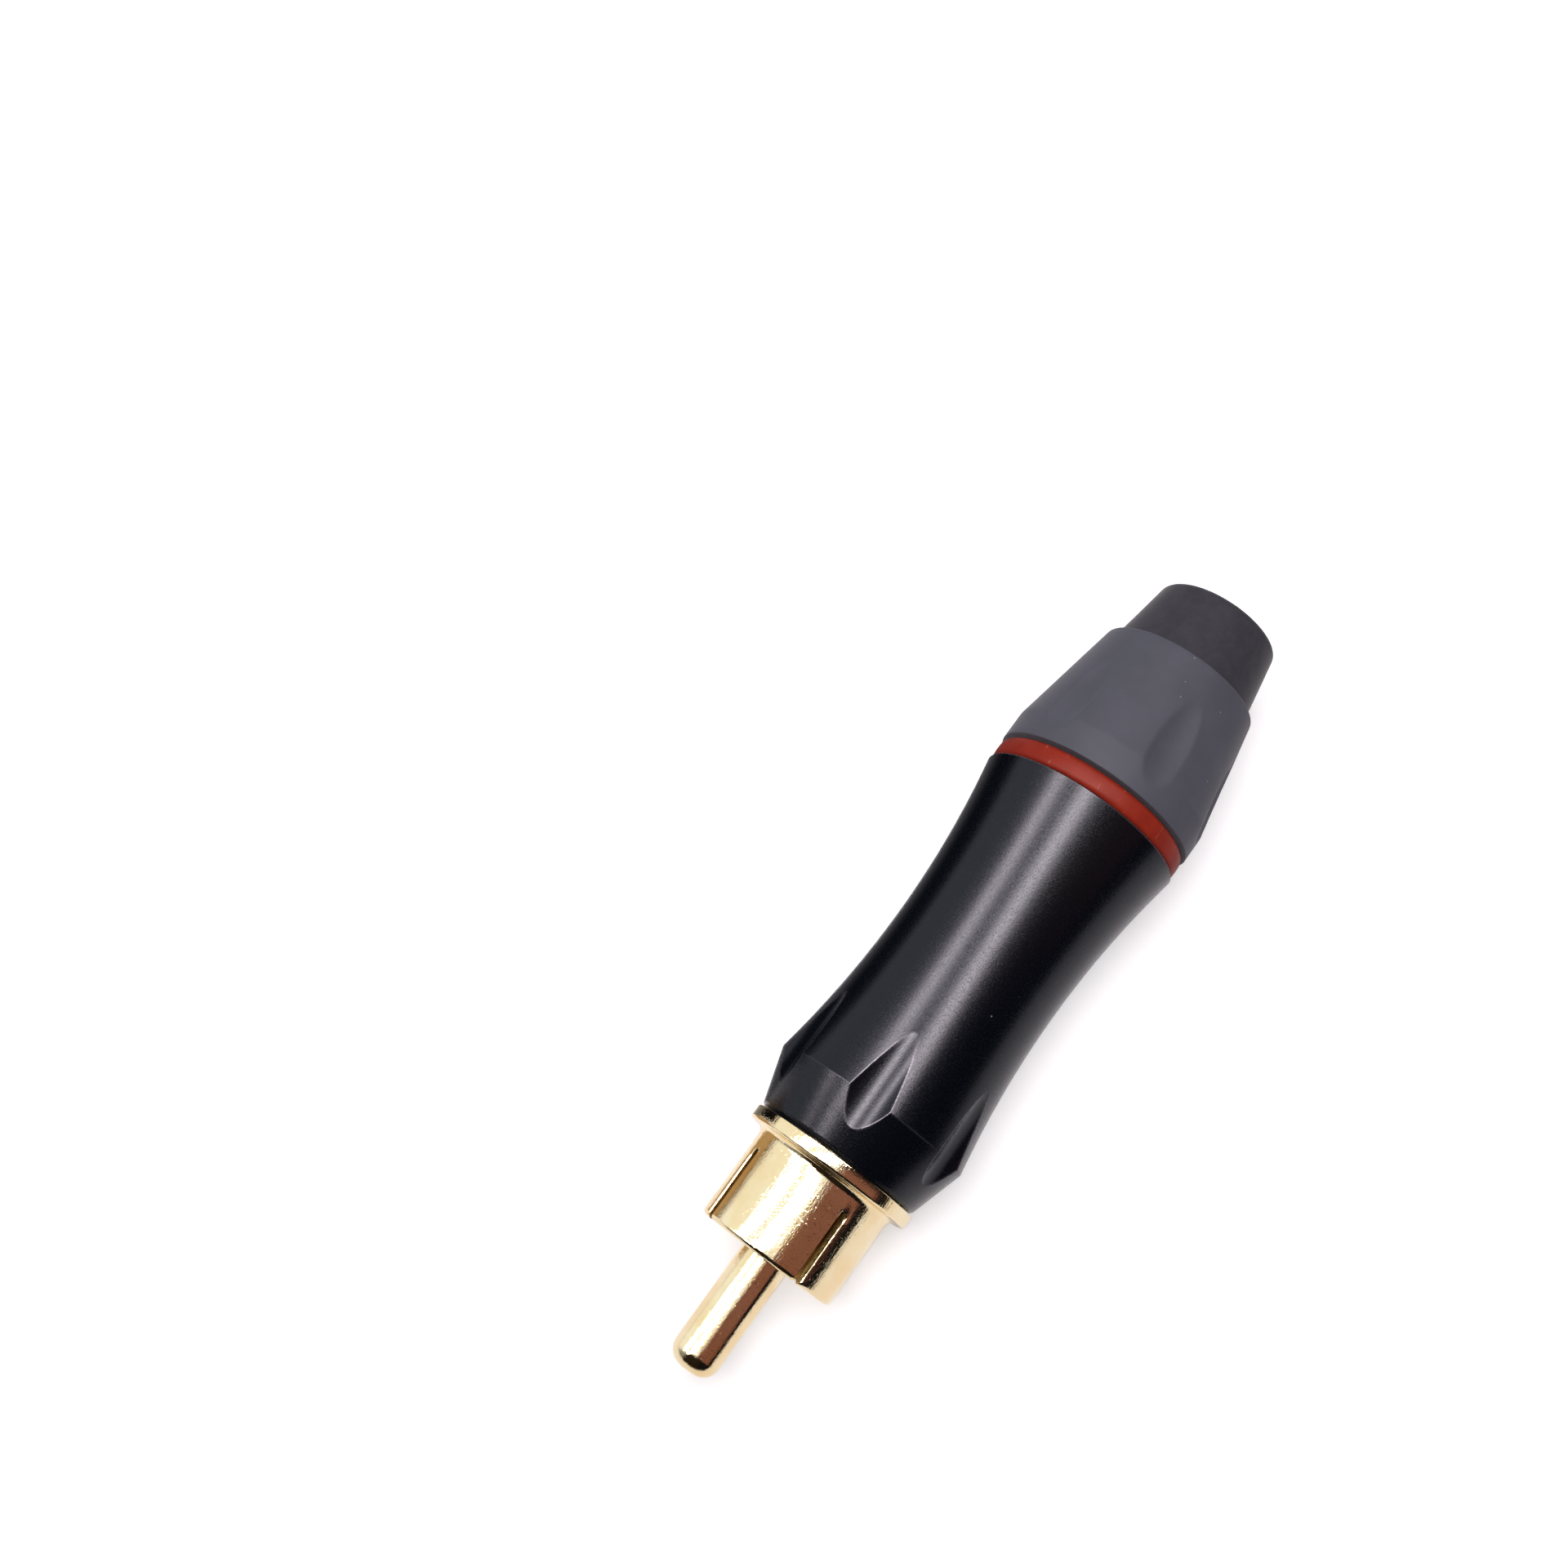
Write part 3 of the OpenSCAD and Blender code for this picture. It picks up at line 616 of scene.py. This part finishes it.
def makeShell():
    s = shellSet
    lip = (s["outerR"] - s["boreR"]) / 2
    lipStart = s["rim"] + lip
    inner = np.linspace(s["slotEnd"], lipStart, 9)
    turn = np.linspace(-math.pi / 2, math.pi / 2, 12)[1:-1]
    nose = np.stack([lipStart - lip * np.cos(turn), s["boreR"] + lip + lip * np.sin(turn)], axis=-1)
    tongue = np.concatenate([np.stack([inner, np.full_like(inner, s["boreR"])], axis=-1), nose,
                             np.stack([inner[::-1], np.full_like(inner, s["outerR"])], axis=-1)])
    middleLoop = roundCorners([
        (s["slotEnd"], s["outerR"], 0), (s["slotEnd"] + 0.1, s["outerR"], 0),
        (s["flange"], s["outerR"], s["fillet"]), (s["flange"], s["flangeR"], 0.2),
        (s["shank"], s["flangeR"], 0.06), (s["shank"], s["shankR"] - s["threadDepth"], 0),
        (s["shank"] + 0.3, s["shankR"] - s["threadDepth"], 0),
        (s["shank"] + 0.5, s["shankR"], 0)], closed=False)[1:-1]
    thread = np.arange(s["shank"] + 0.35, s["shankEnd"] - 0.1, threadPitch / threadRows)
    rest = roundCorners([
        (s["shankEnd"] - 0.2, s["shankR"] - 0.2, 0), (s["shankEnd"], s["shankR"] - 0.35, 0.03),
        (s["shankEnd"], s["shankBore"], 0.08), (s["seat"], s["shankBore"], 0), (s["seat"], s["boreR"], 0),
        (s["slotEnd"], s["boreR"], 0)], closed=False)[1:-1]
    # columns: both sides and the middle of each slot, a bevel's width beyond them, the rest evenly between
    spans = []
    slotColumns = np.array([-1, 0, 1])
    spacing = 360 / len(s["slots"])
    clear = s["slotHalf"] + math.degrees(s["slotEdge"] / s["outerR"])
    for slot in s["slots"]:
        spans.append(slot + slotColumns * s["slotHalf"])
        spans.append(np.linspace(slot + clear, slot + spacing - clear, s["tongueColumns"]))
    angle = np.radians(np.concatenate(spans))
    perSlot = len(slotColumns) + s["tongueColumns"]
    columns = len(angle)
    # the thread starts low in its relief groove and runs out at the shank's end
    depth = threadCut(thread[:, None], angle, s["shank"] - 1, s["shankEnd"] + 1, s["threadDepth"])
    groove = s["threadDepth"] * np.clip((s["shank"] + 0.6 - thread) / 0.25, 0, 1)
    runOut = 0.3 * np.clip((thread - s["shankEnd"] + 0.4) / threadFade, 0, 1)
    threadRadius = s["shankR"] - np.maximum(np.maximum(depth, groove[:, None]), runOut[:, None])
    flat = [np.broadcast_to(p[:, 1:], (len(p), columns)) for p in (tongue, middleLoop, rest)]
    # the slots' edges are bevelled: at a slot's columns the tongue's wall is thinner on both sides
    thin = np.where(np.arange(columns) % perSlot < len(slotColumns), 1 - s["slotEdge"] / lip, 1.0)
    tongueRadius = s["boreR"] + lip + (flat[0] - s["boreR"] - lip) * thin
    radius = np.concatenate([tongueRadius, flat[1], threadRadius, flat[2]])
    station = np.concatenate([tongue[:, 0], middleLoop[:, 0], thread, rest[:, 0]])[:, None]
    points = aroundAxis(station, radius, angle).reshape(-1, 3)
    grid = gridFaces(*radius.shape)
    cuts = [(i * perSlot, i * perSlot + len(slotColumns) - 1) for i in range(len(s["slots"]))]
    faces = cutSlots(grid, columns, 0, len(tongue) - 1, cuts)
    # solder tail: a curved strip with a wire hole; rays from the hole run out to the strip's outline
    ray = np.radians(np.arange(-45, 315, 7.5))
    holeAt = s["shankEnd"] + s["tailLen"] - 2 * s["holeR"] - s["tailWall"]
    ahead = s["shankEnd"] + s["tailLen"] - holeAt
    behind = holeAt - (s["shankEnd"] - s["tailIn"])
    c = np.cos(ray)
    w = np.sin(ray)
    alongRun = np.where(c > 0, ahead, behind)
    square = np.maximum(np.abs(c), np.abs(w))
    outAlong = c / square * alongRun
    outAcross = w / square * s["tailW"] / 2
    grow = np.linspace(0, 1, 9)[:, None]
    tailAlong = holeAt + s["holeR"] * c * (1 - grow) + outAlong * grow
    tailAcross = s["holeR"] * w * (1 - grow) + outAcross * grow
    tailAngle = math.pi + np.arcsin(np.clip(tailAcross / s["tailR"], -1, 1))
    low = aroundAxis(tailAlong, s["tailR"], tailAngle)
    high = aroundAxis(tailAlong, s["tailR"] - s["tailWall"], tailAngle)
    tailPoints = np.concatenate([low, high[::-1]])
    tailFaces = gridFaces(*tailPoints.shape[:2]).reshape(-1, 4)
    allPoints = np.concatenate([points, tailPoints.reshape(-1, 3)])
    allFaces = faces.tolist() + (tailFaces + len(points)).tolist()
    piece = makePiece("shell_gold", allPoints, allFaces, goldFinish,
                      "front_insert", "ground_shell")
    # inside: the bore, where the gold takes its painted shade and a rougher finish
    inside = np.zeros(len(allPoints))
    inside[:len(points)] = ((radius < s["boreR"] + 0.1) & (station < s["shank"])).ravel()
    pointValues(piece, "inside", inside)


makeShell()

# centre pin: a straight contact with a rounded tip, a thinner shank through the bush and a solder cup,
# open over a half angle of so many degrees
pinSet = dict(r=1.6, tipRound=1.1, face=13.38, shankR=1.2, cupR=0.8, cupFloor=22.45, end=25.95,
              open=41.8, openColumns=12, columns=96)


def makePin():
    p = pinSet
    flat = p["r"] - p["tipRound"]
    turn = np.linspace(0, math.pi / 2, 15)
    dome = np.stack([p["tipRound"] * (1 - np.cos(turn)), flat + p["tipRound"] * np.sin(turn)], axis=-1)
    cupSide = np.linspace(p["cupFloor"], p["end"], 4)
    front = np.concatenate([[(0, flat / 2)], dome, [(p["face"], p["r"]), (p["face"], p["shankR"])]])
    cup = np.concatenate([np.stack([cupSide, np.full_like(cupSide, p["shankR"])], axis=-1),
                          np.stack([cupSide[::-1], np.full_like(cupSide, p["cupR"])], axis=-1),
                          [(p["cupFloor"], p["cupR"] / 2)]])
    loop = np.concatenate([front, cup])
    gap = np.radians(p["open"])
    count = p["openColumns"]
    angle = np.concatenate([np.linspace(-gap, gap, count, endpoint=False),
                            np.linspace(gap, 2 * math.pi - gap, p["columns"] - count, endpoint=False)])
    columns = len(angle)
    rows = len(loop)
    points = aroundAxis(loop[:, :1], loop[:, 1:], angle).reshape(-1, 3)
    first = len(front)
    last = first + 2 * len(cupSide) - 1
    faces = cutSlots(gridFaces(rows, columns, loop=False), columns, first, last, [(0, count)])
    # a point at each end closes the tip and the cup's floor
    tip = aroundAxis(0.0, 0.0, 0.0)
    floor = aroundAxis(p["cupFloor"], 0.0, 0.0)
    ring = np.arange(columns)
    step = (ring + 1) % columns
    tipFan = np.stack([np.full(columns, rows * columns), ring, step], axis=-1)
    floorFan = np.stack([(rows - 1) * columns + ring, np.full(columns, rows * columns + 1),
                         (rows - 1) * columns + step], axis=-1)
    allPoints = np.concatenate([points, tip[None], floor[None]])
    allFaces = faces.tolist() + tipFan.tolist() + floorFan.tolist()
    makePiece("pin_gold", allPoints, allFaces, goldFinish, "front_insert", "centre_pin")


makePin()

# the bush and the chuck keep their solids, with their own waxy plastics
for node, setting, title in (("pin_insulator", "bush", "moulded white PTFE, waxy"),
                             ("chuck", "chuck", "moulded natural nylon, waxy")):
    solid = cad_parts[node]
    solid.data.materials.clear()
    solid.data.materials.append(waxyPlastic(title, waxy[setting]))
print("pieces made")

# camera: almost straight above, its place in millimetres and its turn in degrees
cameraSet = dict(place=(-19.9, -7.906, 120.057), turn=(16.533, 3.055, -53.591), lens=41.452)


def makeCamera():
    data = bpy.data.cameras.new("camera")
    data.sensor_width = 36
    data.lens = cameraSet["lens"]
    data.clip_start = 0.005
    camera = bpy.data.objects.new("camera", data)
    camera.location = [v * mm for v in cameraSet["place"]]
    camera.rotation_euler = [math.radians(v) for v in cameraSet["turn"]]
    bpy.context.scene.collection.objects.link(camera)
    bpy.context.scene.camera = camera


makeCamera()

# floor: the plug rests on its rear rim and on its ridge, so the floor, 1.6 m wide, leans about one
# degree against the axis; touch and far are in mm
floorSet = dict(size=1.6, touch=13.0, lean=0.97, colour="#F3F2F5", seenLift=0.5, farLift=1.0,
                far=(60, 220), mirroredLift=0.2)


def makeFloor():
    f = floorSet
    t = np.array([-0.5, 0.5]) * f["size"]
    x, y = np.meshgrid(t, t, indexing="ij")
    z = (f["touch"] * mm - x) * math.tan(math.radians(f["lean"]))
    points = np.stack([x, y, z], axis=-1).reshape(-1, 3)
    mesh = bpy.data.meshes.new("floor")
    mesh.from_pydata(points.tolist(), [], [(0, 2, 3, 1)])
    floor = bpy.data.objects.new("floor", mesh)
    bpy.context.scene.collection.objects.link(floor)
    # matt paper, lifted towards white for the camera, fully so far from the plug, and less for reflections
    material, tree, place = newMaterial("matt white paper")
    path = addNode(tree, "ShaderNodeLightPath")
    mirrored = addNode(tree, "ShaderNodeMath",
                       {0: path.outputs["Is Glossy Ray"], 1: path.outputs["Is Transmission Ray"]},
                       operation="MAXIMUM")
    low = addNode(tree, "ShaderNodeMath", {0: mirrored.outputs[0], 1: f["mirroredLift"]}, operation="MULTIPLY")
    away = addNode(tree, "ShaderNodeVectorMath", {0: place}, operation="LENGTH")
    seen = addNode(tree, "ShaderNodeMapRange",
                   {0: away.outputs["Value"], 1: f["far"][0] * mm, 2: f["far"][1] * mm,
                    3: f["seenLift"], 4: f["farLift"]}, interpolation_type="SMOOTHSTEP")
    lift = addNode(tree, "ShaderNodeMath",
                   {0: path.outputs["Is Camera Ray"], 1: seen.outputs[0], 2: low.outputs[0]},
                   operation="MULTIPLY_ADD")
    paper = addNode(tree, "ShaderNodeBsdfDiffuse", {"Color": hexLinear(f["colour"])})
    glow = addNode(tree, "ShaderNodeEmission", {"Color": (1, 1, 1, 1), "Strength": lift.outputs[0]})
    both = addNode(tree, "ShaderNodeAddShader", {0: paper.outputs[0], 1: glow.outputs[0]})
    finishMaterial(tree, both)
    mesh.materials.append(material)


makeFloor()

# studio: a bright window sky to one side, a dim warm room to the other, a dark board in front overhead,
# a soft panel, two long strip lamps, and flags beside the plug that only reflections see. The lamps are
# in mm and degrees; each pair after a wall's name is where a direction's x, y or z starts and ends its blend
studio = dict(window="#FFFFFF", windowLevel=0.95, thrown=0.22, wallLevel=0.25, wallAlong=(0.32, 0.62),
              room="#80574F", roomHeight=(0.24, 0.38), roomAhead=0.05, roomAlong=(0.22, 0.12),
              low="#151417", windowSide=(-0.3, -0.17),
              board="#241C15", boardSide=(0.55, 0.4), boardFront=(-0.18, -0.28),
              panelColour="#FFF8FA", panelSize=(170, 130), panelWatts=0.6, panelTilt=3, lampHeight=287,
              stripColour="#FFEEE8", stripTurn=-44,
              strips=(dict(aside=206, ends=(-315, 200), width=56, watts=1.95),
                      dict(aside=17, ends=(-258, 200), width=44, watts=1.72)))


def makeStudio():
    world = bpy.data.worlds.new("studio")
    bpy.context.scene.world = world
    world.use_nodes = True
    tree = world.node_tree
    tree.nodes.clear()
    direction = addNode(tree, "ShaderNodeTexCoord").outputs["Generated"]
    split = addNode(tree, "ShaderNodeSeparateXYZ", {0: direction})
    x, y, z = [split.outputs[i] for i in range(3)]
    soft = dict(interpolation_type="SMOOTHSTEP")
    # window: full in the plane across the plug, down to the wall's level towards its two ends
    along = addNode(tree, "ShaderNodeMath", {0: x}, operation="ABSOLUTE")
    level = addNode(tree, "ShaderNodeMapRange",
                    {0: along.outputs[0], 1: studio["wallAlong"][0], 2: studio["wallAlong"][1],
                     3: studio["windowLevel"], 4: studio["wallLevel"]}, **soft)
    # it throws less light than it shows in gloss, so that the top of the plug stays the brightest
    path = addNode(tree, "ShaderNodeLightPath")
    thrown = addNode(tree, "ShaderNodeMapRange",
                     {0: path.outputs["Is Diffuse Ray"], 3: 1.0, 4: studio["thrown"]})
    strength = addNode(tree, "ShaderNodeMath",
                       {0: level.outputs[0], 1: thrown.outputs[0]}, operation="MULTIPLY")
    window = addNode(tree, "ShaderNodeBackground", {0: hexLinear(studio["window"]), 1: strength.outputs[0]})
    # room: warm in the plane across the plug's front, nearly black elsewhere and near the floor
    room = addNode(tree, "ShaderNodeBackground", {0: hexLinear(studio["room"])})
    low = addNode(tree, "ShaderNodeBackground", {0: hexLinear(studio["low"])})
    height = addNode(tree, "ShaderNodeMapRange",
                     {0: z, 1: studio["roomHeight"][0], 2: studio["roomHeight"][1]}, **soft)
    ahead = addNode(tree, "ShaderNodeMath", {0: x, 1: studio["roomAhead"]}, operation="ADD")
    aside = addNode(tree, "ShaderNodeMath", {0: ahead.outputs[0]}, operation="ABSOLUTE")
    narrow = addNode(tree, "ShaderNodeMapRange",
                     {0: aside.outputs[0], 1: studio["roomAlong"][0], 2: studio["roomAlong"][1]}, **soft)
    lit = addNode(tree, "ShaderNodeMath", {0: height.outputs[0], 1: narrow.outputs[0]}, operation="MULTIPLY")
    dim = addNode(tree, "ShaderNodeMixShader", {0: lit.outputs[0], 1: low.outputs[0], 2: room.outputs[0]})
    side = addNode(tree, "ShaderNodeMapRange",
                   {0: y, 1: studio["windowSide"][0], 2: studio["windowSide"][1]}, **soft)
    sky = addNode(tree, "ShaderNodeMixShader", {0: side.outputs[0], 1: dim.outputs[0], 2: window.outputs[0]})
    # board: from 12 degrees forward of straight up to the horizon, and 28 degrees to either side
    across = addNode(tree, "ShaderNodeMath", {0: y}, operation="ABSOLUTE")
    within = addNode(tree, "ShaderNodeMapRange",
                     {0: across.outputs[0], 1: studio["boardSide"][0], 2: studio["boardSide"][1]}, **soft)
    begins = addNode(tree, "ShaderNodeMapRange",
                     {0: x, 1: studio["boardFront"][0], 2: studio["boardFront"][1]}, **soft)
    boarded = addNode(tree, "ShaderNodeMath",
                      {0: begins.outputs[0], 1: within.outputs[0]}, operation="MULTIPLY")
    board = addNode(tree, "ShaderNodeBackground", {0: hexLinear(studio["board"])})
    overhead = addNode(tree, "ShaderNodeMixShader",
                       {0: boarded.outputs[0], 1: sky.outputs[0], 2: board.outputs[0]})
    white = addNode(tree, "ShaderNodeBackground", {0: (1, 1, 1, 1), 1: 1.0})
    shown = addNode(tree, "ShaderNodeMixShader",
                    {0: path.outputs["Is Camera Ray"], 1: overhead.outputs[0], 2: white.outputs[0]})
    addNode(tree, "ShaderNodeOutputWorld", {"Surface": shown.outputs[0]})
    # the panel throws the light and shows in no gloss; the strips show only in gloss, as streaks
    turn = math.radians(studio["stripTurn"])
    tilt = math.radians(studio["panelTilt"])
    high = studio["lampHeight"]
    lamps = [("panel", studio["panelSize"], studio["panelWatts"],
              (0, high * math.sin(tilt), high * math.cos(tilt)), (-tilt, 0, 0))]
    for i, strip in enumerate(studio["strips"]):
        start, stop = strip["ends"]
        half = (start + stop) / 2
        lamps.append((f"strip_{i}", (stop - start, strip["width"]), strip["watts"],
                      (half * math.cos(turn), strip["aside"] + half * math.sin(turn), high), (0, 0, turn)))
    for name, size, watts, place, angles in lamps:
        data = bpy.data.lights.new(name, "AREA")
        data.shape = "RECTANGLE"
        data.size = size[0] * mm
        data.size_y = size[1] * mm
        data.energy = watts
        data.color = hexLinear(studio["panelColour" if name == "panel" else "stripColour"])[:3]
        lamp = bpy.data.objects.new(name, data)
        lamp.location = [v * mm for v in place]
        lamp.rotation_euler = angles
        lamp.visible_glossy = name != "panel"
        lamp.visible_diffuse = name == "panel"
        bpy.context.scene.collection.objects.link(lamp)


# flags: cards beside the plug that only reflections see; each is an upright with a top edge of its own
# shade, and a foot, in mm; shades are of the edge, the upright and the foot's end
flags = dict(barrel=dict(x=(-15.1, 20.0), far=20.0, near=9.0, top=10.8, edge=1.0, foot=0.6,
                         shades=("#0B0B0C", "#0B0B0C", "#8E8C90")),
             sleeve=dict(x=(-22.5, -15.2), far=12.5, near=12.0, top=9.2, edge=0.9, foot=0.6,
                         shades=("#4A3410", "#B0916A", "#B0916A")))


def makeFlag(name):
    f = flags[name]
    x = np.array(f["x"])[:, None]
    y = np.array([f["far"], f["far"], f["far"], f["far"], f["near"]])[None, :]
    z = np.array([f["top"], f["top"] - 0.6 * f["edge"], f["top"] - f["edge"], f["foot"], f["foot"]])[None, :]
    points = np.stack(np.broadcast_arrays(x, y, z), axis=-1).reshape(-1, 3) * mm
    step = np.arange(4)
    mesh = bpy.data.meshes.new("flag_" + name)
    faces = np.stack([step, step + 1, step + 6, step + 5], axis=-1)
    mesh.from_pydata(points.tolist(), [], faces.tolist())
    shade = np.array([hexLinear(f["shades"][c]) for c in (0, 0, 1, 1, 2)] * 2, np.float32)
    mesh.color_attributes.new("shade", "FLOAT_COLOR", "POINT").data.foreach_set("color", shade.ravel())
    flag = bpy.data.objects.new("flag_" + name, mesh)
    bpy.context.scene.collection.objects.link(flag)
    flag.visible_camera = False
    flag.visible_diffuse = False
    flag.visible_shadow = False
    material, tree = newMaterial("painted card " + name)[:2]
    shadeNode = addNode(tree, "ShaderNodeAttribute", attribute_name="shade")
    finishMaterial(tree, addNode(tree, "ShaderNodeEmission", {0: shadeNode.outputs["Color"]}))
    mesh.materials.append(material)


makeFlag("barrel")
makeFlag("sleeve")
makeStudio()
bpy.context.scene.view_settings.view_transform = "Standard"
print("camera, floor and lamps set")
